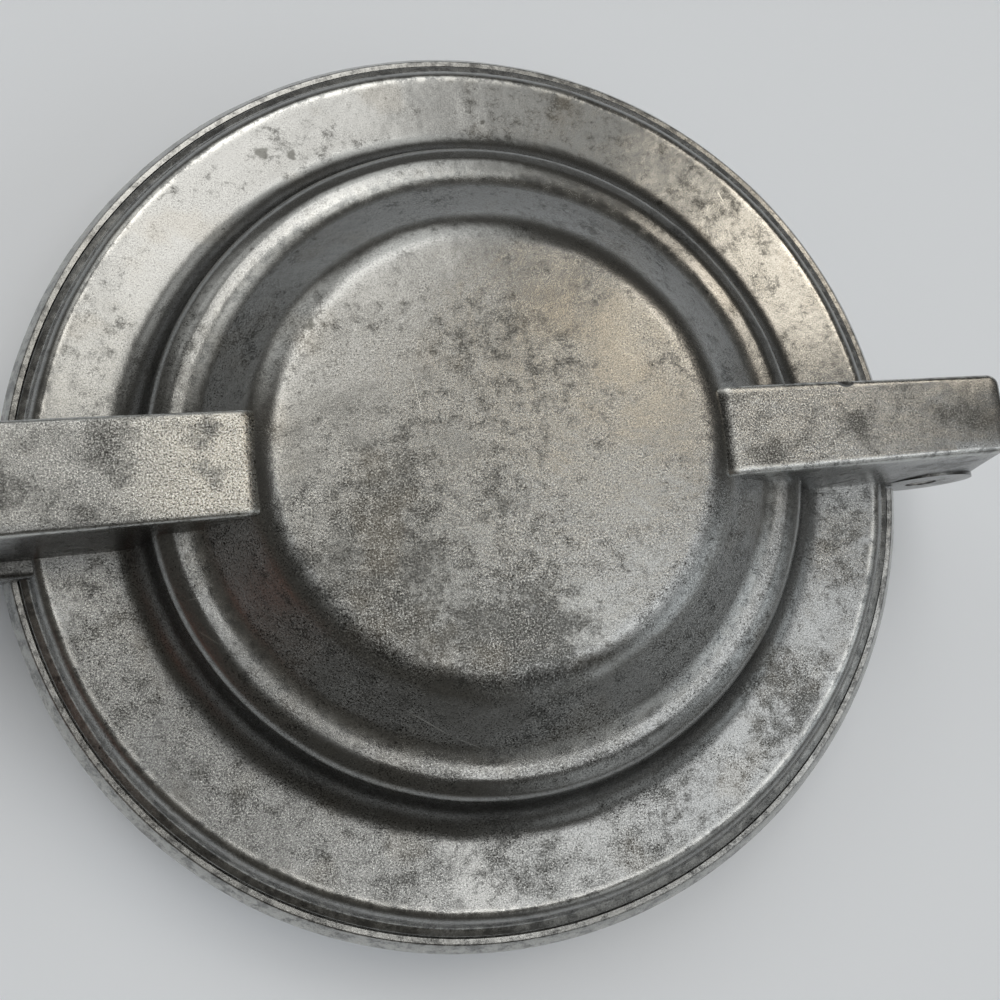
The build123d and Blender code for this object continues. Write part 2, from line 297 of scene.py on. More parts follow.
def bar_x(radius, start, end, z, segments=48):
    """Round bar along X."""
    return bar(radius, abs(end - start), (start + end) / 2, z, "Y", segments)


def soften(bm, keep, width, segments=3, rise=0):
    """Round the edges whose two ends both pass the test, and which rise at least this far."""
    edges = [edge for edge in bm.edges if all(keep(vert.co) for vert in edge.verts)
             and abs(edge.verts[0].co.z - edge.verts[1].co.z) >= rise]
    bmesh.ops.bevel(bm, geom=edges, offset=width, offset_type="OFFSET", segments=segments, profile=0.5,
                    affect="EDGES", material=-1)
    return bm


def as_object(bm, name, material=0):
    """Put a bmesh into the scene as an object of its own, its faces marked with one of two materials."""
    for face in bm.faces:
        face.material_index = material
    mesh = bpy.data.meshes.new(name)
    for _ in range(2):
        mesh.materials.append(None)
    bm.to_mesh(mesh)
    bm.free()
    piece = bpy.data.objects.new(name, mesh)
    bpy.context.scene.collection.objects.link(piece)
    return piece


def combine(piece, solids, operation, material=0):
    """Join an object with several solids or cut it by them, and mark the faces that they leave."""
    tools = [as_object(bm, "tool", material) for bm in solids]
    for tool in tools:
        change = piece.modifiers.new(operation, "BOOLEAN")
        change.operation = operation
        change.solver = "MANIFOLD"
        change.object = tool
    bpy.context.view_layer.update()
    graph = bpy.context.evaluated_depsgraph_get()
    made = bpy.data.meshes.new_from_object(piece.evaluated_get(graph))
    piece.modifiers.clear()
    piece.data = made
    for tool in tools:
        bpy.data.objects.remove(tool)


def settle(piece, place, materials):
    """Move a finished piece from its drawing place in millimetres to the iron, in metres, and shade it."""
    piece.data.transform(Matrix.Scale(MM, 4) @ place)
    for number, material in enumerate(materials):
        piece.data.materials[number] = material
    while len(piece.data.materials) > len(materials):
        piece.data.materials.pop()
    piece.data.polygons.foreach_set("use_smooth", [True] * len(piece.data.polygons))
    piece.data.set_sharp_from_angle(angle=SHARP)
    piece.data.update()


def fit_out(piece, node, body, place, materials):
    """Finish a piece, and let it stand in for its solid."""
    settle(piece, place, materials)
    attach(piece, body)
    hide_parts(node)


def wander(piece, amount, size, still):
    """Let a cast surface wander a little, apart from where still(point) says."""
    noise.seed_set(WAVE_SEED)
    for vert in piece.data.vertices:
        if not still(vert.co):
            vert.co += noise.noise_vector(vert.co / size) * amount


# ---- half moulds

# Outline of the dome from the plateau to the crust ring, as (radius, height, round)
DOME = [
    (0, PARTING, 0),
    (PLATEAU_RADIUS, PARTING, PLATEAU_ROUND),
    (SLOPE_FOOT, CREST, SLOPE_ROUND),
    (CREST_EDGE, CREST_END, CREST_ROUND),
    (SHOULDER, SHOULDER_TOP, SHOULDER_ROUND),
    (COVE_FOOT, RING, COVE_ROUND),
]


def hinge_half_width(x, z):
    """Half the width of the arm towards the hinge, which tapers outwards and upwards."""
    share = (x - ARM_START) / (ARM_TIP - ARM_START)
    return (HINGE_ARM_ROOT + share * (HINGE_ARM_TIP - HINGE_ARM_ROOT)) / 2 + (PARTING - z) * DRAFT


def handle_half_width(x, z):
    """Half the width of the arm towards the handle, which widens outwards and tapers upwards."""
    share = (-x - ARM_START) / (HANDLE_REACH - ARM_START)
    return (HANDLE_ARM_ROOT + share * (HANDLE_ARM_END - HANDLE_ARM_ROOT)) / 2 + (PARTING - z) * DRAFT


def hollow(base):
    """The space inside a half mould."""
    inner = PLATEAU_RADIUS - WALL / 3
    corners = [
        (0, PARTING - WALL, 0),
        (inner, PARTING - WALL, 2.2),
        (SLOPE_FOOT - WALL / 3, CREST - WALL, 3.0),
        (SHOULDER - WALL, SHOULDER_TOP - WALL, 1.0),
        (COVE_FOOT - WALL, RING - WALL / 2, 0.5),
        (COVE_FOOT, RING - WALL, 0),
        (TONGUE_INNER, RING - WALL, 0),
        (TONGUE_INNER, base, 0),
        (0, base, 0),
    ]
    return turn(wire(corners, step=3, segments=4), 180)


def arm_top(co):
    """Whether a place lies in the upper part of an arm."""
    return co.z > RING + 5


def arm_root(side, base):
    """Inner end of an arm's side outline, which falls away into the edge of the plateau."""
    foot = side * (ARM_START - ARM_FOOT)
    return [(foot, base), (foot, PARTING - ARM_FALL), (side * ARM_START, PARTING)]


def worn_arm(bm, start, end):
    """Round an arm's top edges, and cut its faces so that they can wander."""
    soften(bm, arm_top, ARM_EDGE, 4)
    slice_up(bm, start, end, 1.1, 0)
    widest = 7.0
    slice_up(bm, -widest, widest, 1.4, 1)
    return bm


def upper_parts():
    """Dome of the upper half mould, and the pieces of its arms, with the ears of the hinge as one block."""
    rim = [(RING_EDGE, RING, ROLL_ROUND), (LIP_START, LIP + 0.2, 0.6), (UPPER_RIM, LIP - 0.25, 0.3),
           (UPPER_RIM, -TONGUE, 0), (0, -TONGUE, 0)]
    corner = math.atan2(PARTING, ARM_TIP - PIN_X)
    tangent = corner - math.acos(KNUCKLE / math.hypot(ARM_TIP - PIN_X, PARTING))
    nose = (PIN_X + KNUCKLE * math.cos(tangent), KNUCKLE * math.sin(tangent))
    side = arm_root(1, RIM_GAP) + [(ARM_TIP, PARTING), nose, (PIN_X, RIM_GAP)]
    hinge = soften(slab(side, hinge_half_width), lambda co: co.x > PIN_X + 1, EAR_CORNER, 5, rise=4)
    worn_arm(hinge, ARM_START, PIN_X + KNUCKLE)
    knuckle = bar_y(KNUCKLE, 2 * hinge_half_width(PIN_X, 0), PIN_X, 0, 96)
    return turn(wire(DOME + rim), 360), [hinge, knuckle] + handle_arm(RIM_GAP)


def lower_parts():
    """Dome of the lower half mould with its wider bead, and the pieces of its arms."""
    bead_start = LOWER_RIM - BEAD_WIDTH
    rim = [(bead_start, RING, 0), (bead_start + BEAD - RING, BEAD, BEAD_ROUND / 2),
           (LOWER_RIM, BEAD, BEAD_ROUND), (LOWER_RIM, BEAD / 2, BEAD_ROUND), (LIP_OUTER, 0, 0.3), (0, 0, 0)]
    side = arm_root(1, 0) + [(PIN_X, PARTING), (PIN_X, 0)]
    hinge = worn_arm(slab(side, hinge_half_width), ARM_START, PIN_X)
    return turn(wire(DOME + rim), 360), [hinge] + handle_arm(0)


def handle_arm(base):
    """Tall rib on a flat plate towards the handle, with a round boss for the rivet."""
    side = arm_root(-1, base) + [(-HANDLE_LEVEL_END, PARTING), (-HANDLE_REACH, HANDLE_END_HEIGHT),
                                 (-HANDLE_REACH, base)]
    rib = worn_arm(slab(side, handle_half_width), -HANDLE_REACH, -ARM_START)
    wide, narrow = FLANGE_WIDTH / 2, FLANGE_END_WIDTH / 2
    outline = [(-FLANGE_START, wide), (-FLANGE_BEND, wide), (-HANDLE_REACH, narrow), (-HANDLE_REACH, -narrow),
               (-FLANGE_BEND, -wide), (-FLANGE_START, -wide)]
    flange = plate(outline, base, FLANGE_HEIGHT)
    soften(flange, lambda co: co.x < -HANDLE_REACH + 1, PLATE_CORNER, 6, rise=1)
    soften(flange, lambda co: co.z > FLANGE_HEIGHT - 0.1, PLATE_EDGE, 5)
    slice_up(flange, -HANDLE_REACH, -FLANGE_START, 1.3, 0)
    boss = bar_y(BOSS, 2 * handle_half_width(RIVET_X, ROD_HEIGHT - BOSS), RIVET_X, ROD_HEIGHT, 64)
    return [rib, flange, boss]


def fork_cutters():
    """Cutters of the upper half: the slot between the ears, the pin's bore, and a chip in the arm's edge."""
    back, out = PIN_X - KNUCKLE - KNUCKLE_GAP, PIN_X + 12
    slot = [(back, -12), (back, 0), (PIN_X, 0), (PIN_X, SLOT_FRONT), (out, SLOT_FRONT), (out, -12)]
    chip, place = bmesh.new(), Matrix.Translation(CHIP_PLACE)
    bmesh.ops.create_icosphere(chip, subdivisions=4, radius=CHIP_RADIUS, matrix=place)
    return [slab(slot, lambda x, z: SLOT_WIDTH / 2), bar_y(KNUCKLE + KNUCKLE_GAP, SLOT_WIDTH, PIN_X, 0, 96),
            bar_y(PIN_RADIUS + CAST_FIT, 30, PIN_X, 0), chip]


def seat_cutters():
    """Cutters of the lower half: room for the ears, and the seat for the upper rim's tongue."""
    room = 2 * hinge_half_width(PIN_X, 0) + EAR_ROOM
    inner = TONGUE_INNER - RIM_GAP
    seat = [(inner, -1, 0), (inner, SEAT_DEPTH, 0), (LIP_INNER, SEAT_DEPTH, 0), (LIP_INNER, -1, 0),
            (inner, -1, 0)]
    return [bar_y(KNUCKLE + KNUCKLE_GAP, room, PIN_X, 0, 96), turn(wire(seat, step=9), 360)]


def add_hinge_tongue(piece):
    """Join the tongue that stands between the ears to the lower half, and bore it for the pin."""
    near, top = PIN_X - KNUCKLE - 1, 9
    neck = slab([(near, 0), (near, top), (PIN_X, top), (PIN_X, 0)], lambda x, z: TONGUE_WIDTH / 2)
    knuckle = bar_y(KNUCKLE, TONGUE_WIDTH, PIN_X, 0, 96)
    combine(piece, [neck, knuckle], "UNION", 1)
    combine(piece, [bar_y(PIN_RADIUS + PIN_PLAY, 30, PIN_X, 0)], "DIFFERENCE")


def shell(half, materials):
    """One half mould with its two arms, cast in one piece."""
    dome, arms = upper_parts() if half == "upper" else lower_parts()
    piece = as_object(dome, half + "_mould")
    combine(piece, arms, "UNION", 1)
    cutters = [hollow(-TONGUE - 1),
               bar_x(ROD_RADIUS + CAST_FIT, -2 * HANDLE_REACH, ROD_START + 0.5, ROD_HEIGHT),
               bar_y(RIVET_RADIUS + CAST_FIT, 30, RIVET_X, ROD_HEIGHT)]
    combine(piece, cutters + (fork_cutters() if half == "upper" else seat_cutters()), "DIFFERENCE")
    if half == "lower":
        add_hinge_tongue(piece)
    waviness = bpy.context.scene.pie_iron_finish.waviness / MM
    wander(piece, waviness, 7.0, lambda co: co.z < RIM_GAP + 0.1)
    fit_out(piece, half + "_shell", half, HALVES[half], materials)


# ---- hinge, rods, grips and latch

def lathe(bm, steps=64):
    """Spin an outline given as (x, radius) all the way round X."""
    bmesh.ops.spin(bm, geom=bm.verts[:] + bm.edges[:], cent=(0, 0, 0), axis=(1, 0, 0), angle=2 * math.pi,
                   steps=steps, use_merge=True)
    bmesh.ops.remove_doubles(bm, verts=bm.verts[:], dist=WELD)
    bmesh.ops.recalc_face_normals(bm, faces=bm.faces[:])
    return bm


def round_bar(half, radius, edge):
    """Outline of a bar that reaches as far to each side, with rounded rims."""
    return wire([(-half, 0, 0), (-half, radius, edge), (half, radius, edge), (half, 0, 0)], 2)


def lift(bm):
    """Raise a piece drawn about the X axis to the height of the rods."""
    bmesh.ops.translate(bm, verts=bm.verts[:], vec=(0, 0, ROD_HEIGHT))
    return bm


def across(bm, x, z):
    """Lay a piece drawn about the X axis across the iron at a place."""
    bmesh.ops.transform(bm, verts=bm.verts[:],
                        matrix=Matrix.Translation((x, 0, z)) @ Matrix.Rotation(math.pi / 2, 4, "Z"))
    return bm


def halve(bm, edge):
    """Keep the part of a turned solid that lies beyond the grip gap, and ease its cut edges."""
    geom = bm.verts[:] + bm.edges[:] + bm.faces[:]
    bmesh.ops.bisect_plane(bm, geom=geom, plane_co=(0, 0, GRIP_GAP), plane_no=(0, 0, 1), clear_inner=True)
    rim = [e for e in bm.edges if e.is_boundary]
    bmesh.ops.contextual_create(bm, geom=rim)
    bmesh.ops.recalc_face_normals(bm, faces=bm.faces[:])
    if edge:
        soften(bm, lambda co: co.z < GRIP_GAP + 0.001, edge)
    return bm


def hinge_pin(materials):
    """Pin with peened ends, pressed into the ears of the fork."""
    sunk, peened = 0.1, 0.6
    outline = round_bar(hinge_half_width(PIN_X, 0) - sunk, PIN_RADIUS, peened)
    piece = as_object(across(lathe(outline), PIN_X, 0), "hinge_pin_peened")
    fit_out(piece, "hinge_pin", "upper", UPPER, materials)


def rod_with_button():
    """Drawn rod of the upper half, which ends in a forged button."""
    near, far = BUTTON_X + BUTTON_HALF, BUTTON_X - BUTTON_HALF
    corners = [(ROD_START, 0, 0), (ROD_START, ROD_RADIUS, 0.5), (near, ROD_RADIUS, 0.3),
               (near, BUTTON_RADIUS, 1.2), (far, BUTTON_RADIUS, 1.3), (far, 0, 0)]
    return as_object(lift(lathe(wire(corners, 4))), "upper_handle_rod")


def rod_with_eye():
    """Drawn rod of the lower half, flattened on both sides into an eye for the latch."""
    corners = [(ROD_START, 0, 0), (ROD_START, ROD_RADIUS, 0.5), (BUTTON_X, ROD_RADIUS, 0), (BUTTON_X, 0, 0)]
    piece = as_object(lift(lathe(wire(corners, 4))), "lower_handle_rod")
    flat, wide = EYE_THICKNESS / 2, ROD_RADIUS + 0.6
    beyond, flat_end, taper_end = BUTTON_X - 6, BUTTON_X + 3.4, BUTTON_X + 6.5
    plan = [(beyond, flat), (flat_end, flat), (taper_end, wide), (beyond, wide)]
    combine(piece, [plate([(x, side * y) for x, y in plan], 0, 20) for side in (1, -1)], "DIFFERENCE")
    eye = across(lathe(round_bar(flat, EYE_RADIUS, 0.5), 96), BUTTON_X, ROD_HEIGHT)
    combine(piece, [eye], "UNION")
    combine(piece, [bar_y(WIRE_RADIUS + EYE_PLAY, 20, BUTTON_X, ROD_HEIGHT)], "DIFFERENCE")
    return piece


def rod(half, materials):
    """One of the two handle rods."""
    piece = rod_with_button() if half == "upper" else rod_with_eye()
    fit_out(piece, half + "_rod", half, HALVES[half], materials)


def socket_rivet(half, materials):
    """Rivet across a handle arm, with a struck head on each side."""
    sunk, skirt = 0.03, 0.25
    boss = handle_half_width(RIVET_X, ROD_HEIGHT - BOSS) - sunk
    dome = [(boss + skirt + (RIVET_DOME - skirt) * math.cos(a), RIVET_HEAD * math.sin(a))
            for a in [math.radians(10 * i) for i in range(10)]]
    side = dome + [(boss, RIVET_HEAD - 0.05), (boss, RIVET_RADIUS)]
    corners = [(x, r, 0) for x, r in side] + [(-x, r, 0) for x, r in reversed(side)]
    piece = as_object(across(lathe(wire(corners, 2)), RIVET_X, ROD_HEIGHT), half + "_struck_rivet")
    fit_out(piece, half + "_socket_rivet", half, HALVES[half], materials)


def barrel_outline():
    """Outline of the turned barrel from its tenon to its butt, as (x, radius, round)."""
    tenon_end, bead = GRIP_FRONT - FERRULE_LENGTH, GRIP_BUTT + BUTT_BEAD
    face, tenon = GRIP_FRONT - FERRULE_WALL - FERRULE_FIT, FERRULE_RADIUS - FERRULE_WALL - FERRULE_FIT
    swell = tenon_end - SWELL_SHARE * (GRIP_FRONT - GRIP_BUTT)
    corners = [(face, 0, 0), (face, tenon, 0), (tenon_end, tenon, 0), (tenon_end, NECK_RADIUS, 0)]
    # The swell runs smoothly through three knots, each as (x, radius, slope)
    knots = [(tenon_end, NECK_RADIUS, -0.1), (swell, PARTING, 0), (bead, BUTT_NECK_RADIUS, 0.2)]
    steps = 40
    for (x0, r0, m0), (x1, r1, m1) in zip(knots, knots[1:]):
        run = x1 - x0
        for i in range(1, steps + 1):
            t = i / steps
            r = ((2 * t ** 3 - 3 * t ** 2 + 1) * r0 + (t ** 3 - 2 * t ** 2 + t) * run * m0
                 + (3 * t ** 2 - 2 * t ** 3) * r1 + (t ** 3 - t ** 2) * run * m1)
            corners.append((x0 + run * t, r, 0))
    return corners + [(bead, BUTT_RADIUS, 1.4), (GRIP_BUTT, BUTT_RADIUS, 3.0), (GRIP_BUTT, 0, 0)]


def grip(half, materials):
    """Half of a turned barrel, bored for the rod, its tenon cut back for the flat of the ferrule."""
    piece = as_object(halve(lathe(wire(barrel_outline(), 2), 128), GRIP_EDGE), half + "_turned_grip")
    bore = bar_x(ROD_RADIUS + BORE_FIT, -GRIP_FRONT, 2 * GRIP_BUTT, ROD_HEIGHT)
    tenon_end, top = GRIP_FRONT - FERRULE_LENGTH, GRIP_GAP + FERRULE_WALL + FERRULE_FIT
    step = slab([(tenon_end, 0), (0, 0), (0, top), (tenon_end, top)], lambda x, z: 2 * FERRULE_RADIUS)
    combine(piece, [bore, step], "DIFFERENCE")
    fit_out(piece, half + "_grip", half, HALVES[half], materials)


def ferrule(half, materials):
    """Half-round cap pressed from plate, closed by a flat, on the front of a grip."""
    back, floor = GRIP_FRONT - FERRULE_LENGTH, GRIP_FRONT - FERRULE_WALL
    inner, beyond = FERRULE_RADIUS - FERRULE_WALL, back - 1
    outer = [(GRIP_FRONT, 0, 0), (GRIP_FRONT, FERRULE_RADIUS, FERRULE_ROUND),
             (back, FERRULE_RADIUS, FERRULE_EDGE), (back, 0, 0)]
    core = [(floor, 0, 0), (floor, inner, 0.5), (beyond, inner, 0), (beyond, 0, 0)]
    piece = as_object(halve(lathe(wire(outer), 128), FERRULE_EDGE), half + "_pressed_ferrule")
    inside = halve(lathe(wire(core), 128), 0)
    for vert in inside.verts:
        vert.co.z = max(vert.co.z, GRIP_GAP + FERRULE_WALL)
    bore = bar_x(ROD_RADIUS + BORE_FIT, 0, 2 * GRIP_FRONT, ROD_HEIGHT)
    combine(piece, [inside, bore], "DIFFERENCE")
    fit_out(piece, half + "_ferrule", half, HALVES[half], materials)


def grip_pin(half, materials):
    """Pin through ferrule, wood and rod."""
    reach = math.sqrt(FERRULE_RADIUS ** 2 - ROD_HEIGHT ** 2) + PIN_PROUD
    peened = 0.4
    turned = lathe(round_bar(reach, GRIP_PIN_RADIUS, peened), 32)
    piece = as_object(across(turned, GRIP_PIN_X, ROD_HEIGHT), half + "_cross_pin")
    fit_out(piece, half + "_grip_pin", half, HALVES[half], materials)


def butt_washer(half, materials):
    """Washer between the grip's butt and the end of the rod."""
    far = GRIP_BUTT - WASHER_THICKNESS
    corners = [(GRIP_BUTT, 0, 0), (GRIP_BUTT, WASHER_RADIUS, 0.15), (far, WASHER_RADIUS, 0.4), (far, 0, 0)]
    piece = as_object(lift(lathe(wire(corners, 2), 96)), half + "_end_washer")
    combine(piece, [bar_x(ROD_RADIUS + BORE_FIT, 0, 2 * GRIP_BUTT, ROD_HEIGHT)], "DIFFERENCE")
    fit_out(piece, half + "_butt_washer", half, HALVES[half], materials)


def latch_loop(materials):
    """Wire loop with its feet in the eye of the lower rod, drawn flat and laid back on the table."""
    foot, straight_steps, bend_steps = 0.2, 6, 16
    bm = bmesh.new()
    bmesh.ops.create_circle(bm, segments=32, radius=WIRE_RADIUS,
                            matrix=Matrix.Translation((0, foot, 0)) @ Matrix.Rotation(math.pi / 2, 4, "X"))
    end = bm.edges[:]
    bend, side = WIRE_BEND, LOOP_HALF
    centres = [(-bend, side - bend), (bend - LOOP_REACH, side - bend), (bend - LOOP_REACH, bend - side),
               (-bend, bend - side)]
    runs = [(0, side - bend - foot), (2 * bend - LOOP_REACH, 0), (0, 2 * (bend - side)),
            (LOOP_REACH - 2 * bend, 0), (0, side - bend - foot)]
    for i, (x, y) in enumerate(runs):
        stride = (x / straight_steps, y / straight_steps, 0)
        end = bmesh.ops.spin(bm, geom=end, cent=(0, 0, 0), axis=(0, 0, 1), dvec=stride, angle=0,
                             steps=straight_steps)["geom_last"]
        if i < len(centres):
            end = bmesh.ops.spin(bm, geom=end, cent=(*centres[i], 0), axis=(0, 0, 1), angle=math.pi / 2,
                                 steps=bend_steps)["geom_last"]
    bmesh.ops.holes_fill(bm, edges=bm.edges[:])
    bmesh.ops.recalc_face_normals(bm, faces=bm.faces[:])
    place = Matrix.Translation((BUTTON_X, 0, PARTING - ROD_HEIGHT)) @ Matrix.Rotation(-LOOP_LEAN, 4, "Y")
    fit_out(as_object(bm, "latch_wire_loop"), "latch_loop", "latch", place, materials)


# ---- materials

SMOOTH = {"interpolation_type": "SMOOTHSTEP"}
MULTIPLY = {"operation": "MULTIPLY"}
MULTIPLY_ADD = {"operation": "MULTIPLY_ADD"}
# Turns a place in metres into its plan in millimetres
PLAN = (1 / MM, 1 / MM, 0)
# Distance from the iron's centre, in millimetres, at which the ramps by radius end
RAMP_END = 60
# Tones of the casting where it is oxidised or pitted, a soot tone that also serves as painted shade in
# creases, and a pale rubbed tone that also serves as painted highlight on edges
OXIDE, PIT, SOOT_AND_SHADE, RUBBED_AND_HIGHLIGHT = [srgb(code) for code in ("7C7260", "191613", "242220", "C8C9C6")]


def add(tree, kind, inputs, **settings):
    """Add a shader node with its settings; its inputs are constants, nodes or (node, output) pairs."""
    node = tree.nodes.new("ShaderNode" + kind)
    for key, value in settings.items():
        setattr(node, key, value)
    for key, value in inputs.items():
        pair = value if isinstance(value, tuple) else (value, 0)
        if isinstance(pair[0], bpy.types.Node):
            tree.links.new(pair[0].outputs[pair[1]], node.inputs[key])
        else:
            node.inputs[key].default_value = value
    return node


def grain(size, detail=2.0, roughness=0.5):
    """Settings of a noise whose features are this many millimetres wide."""
    return {"Scale": per(size), "Detail": detail, "Roughness": roughness}


def between(low, high, start=0.0, end=1.0):
    """Settings of a change from start, where the value is low, to end, where it is high."""
    return {"From Min": low, "From Max": high, "To Min": start, "To Max": end}


def new_material(name):
    """Empty material, its node tree, and the place on the piece in metres."""
    material = bpy.data.materials.new(name)
    material.use_nodes = True
    tree = material.node_tree
    tree.nodes.clear()
    return material, tree, (add(tree, "TexCoord", {}), "Object")


def metal_surface(tree, colour, rough, bump):
    """Close a metal's tree with its shader and its output."""
    shader = add(tree, "BsdfPrincipled",
                 {"Metallic": 1.0, "Base Color": colour, "Roughness": rough, "Normal": bump})
    add(tree, "OutputMaterial", {"Surface": shader})


def total(tree, parts):
    """Sum of several values."""
    result = parts[0]
    for part in parts[1:]:
        result = add(tree, "Math", {0: result, 1: part}, operation="ADD")
    return result


def laid(tree, colour, tone, *masks):
    """A tone laid over a colour, as far as all the masks together let it show."""
    share = masks[0]
    for mask in masks[1:]:
        share = add(tree, "Math", {0: share, 1: mask}, **MULTIPLY)
    return add(tree, "Mix", {0: share, 6: colour, 7: tone}, data_type="RGBA"), 2


def by_radius(tree, radius, stops):
    """Value that changes with the distance from the iron's centre, from (millimetres, value) stops."""
    reach = add(tree, "MapRange", {"Value": radius, **between(0, RAMP_END)})
    node = add(tree, "ValToRGB", {"Fac": reach})
    elements = node.color_ramp.elements
    while len(elements) < len(stops):
        elements.new(1.0)
    for element, (distance, value) in zip(elements, stops):
        element.position = distance / RAMP_END
        element.color = (value, value, value, 1)
    return node


def spot(tree, plan, x, y, radius, soft):
    """1 within a round spot, and 0 beyond its soft edge."""
    away = add(tree, "VectorMath", {0: plan, 1: (x, y, 0)}, operation="DISTANCE")
    return add(tree, "MapRange", {"Value": (away, "Value"), **between(radius, radius * (1 - soft))}, **SMOOTH)


def scratch(tree, plan, x0, y0, x1, y1, width):
    """1 on a scratch between two places."""
    run = Vector((x1 - x0, y1 - y0, 0))
    middle = Vector((x0 + x1, y0 + y1, 0)) / 2
    along = run.normalized()
    beside = Vector((-along.y, along.x, 0))
    shares = []
    for axis, reach, full in ((along, run.length / 2, run.length / 4), (beside, width, width / 3)):
        share = add(tree, "VectorMath", {0: plan, 1: axis}, operation="DOT_PRODUCT")
        offset = add(tree, "Math", {0: (share, "Value"), 1: middle.dot(axis)}, operation="SUBTRACT")
        away = add(tree, "Math", {0: offset}, operation="ABSOLUTE")
        shares.append(add(tree, "MapRange", {"Value": away, **between(reach, full)}, **SMOOTH))
    return add(tree, "Math", {0: shares[0], 1: shares[1]}, **MULTIPLY)


# Marks of use in millimetres: (x, y, radius, how dark) for stains and for the blotches of the arms,
# (x, y, radius) for small spots, and (x, y, x, y, width) for scratches
STAINS = [
    (-14, -13, 13, 0.12), (2, -21, 12, 0.17), (-11, -2, 8, 0.08), (2, 12, 7, 0.06), (-24, -12, 7, 0.07),
    (-9, -12, 4, 0.06), (-1, -6, 4, 0.08), (15, 49, 3, 0.16), (27, 26, 9, 0.04), (35, -33, 12, 0.11),
    (5, 25, 3, 0.08), (12, -6, 8, -0.07), (18, 2, 7, -0.07), (-13, 10, 6, -0.14), (-4, 20, 5, -0.10),
    (16, 12, 6, -0.14), (-33, 32, 18, -0.08), (-46, 8, 10, -0.05), (0, 45, 12, -0.03), (22, -42, 10, 0.05),
    (46, -14, 8, 0.04), (-2, -47, 12, 0.04), (-8, -21, 9, 0.08), (8, -15, 6, -0.06), (-12, 44, 30, -0.035),
]
SPOTS = [
    (-23.8, 41.5, 1.15), (-20.1, 41.3, 0.8), (-19.3, 14.6, 0.8), (4.4, 45.5, 0.5), (27.1, 33.8, 0.55),
    (26.2, 19.3, 0.5), (28.3, 18.4, 0.4), (-29.0, 31.7, 0.35), (36.5, -26.0, 0.45),
]
SCRATCHES = [
    (-13.0, -26.9, -7.7, -30.6, 0.09), (-7.7, -30.6, -3.6, -32.8, 0.06), (35.2, 35.5, 36.0, 33.6, 0.09),
    (-33.8, -16.6, -31.2, -18.6, 0.10), (-34.6, -13.4, -32.6, -13.2, 0.09),
    (-31.0, -24.2, -29.2, -26.0, 0.08), (-9.0, 9.5, -8.2, 3.5, 0.05),
]
ARM_BLOTCHES = [
    (-40.8, 3.3, 4.5, 0.13), (-31.4, 3.7, 3.0, 0.12), (-30.7, -1.6, 3.5, 0.16), (42.5, -0.4, 3.5, 0.15),
    (56.8, -0.1, 3.5, 0.13), (31, -2.6, 3.5, 0.12), (49, 4, 4.0, 0.08), (-52, -2, 6.0, 0.08),
    (-34, 0, 8.0, -0.06),
]


def marks(tree, plan, places):
    """Sum of soft round marks, each given as (x, y, radius, how dark)."""
    return total(tree, [add(tree, "Math", {0: spot(tree, plan, x, y, radius, 1.0), 1: dark}, **MULTIPLY)
                        for x, y, radius, dark in places])


def mood(tree, plan, places, *patterns):
    """How likely the casting is to be stained: (pattern, weight) pairs and the marks of use together."""
    weighed = [add(tree, "Math", {0: pattern, 1: weight}, **MULTIPLY) for pattern, weight in patterns]
    return total(tree, weighed + [marks(tree, plan, places)])


def chosen(name):
    """A colour that the user has set, with alpha."""
    return list(getattr(bpy.context.scene.pie_iron_finish, name)) + [1]


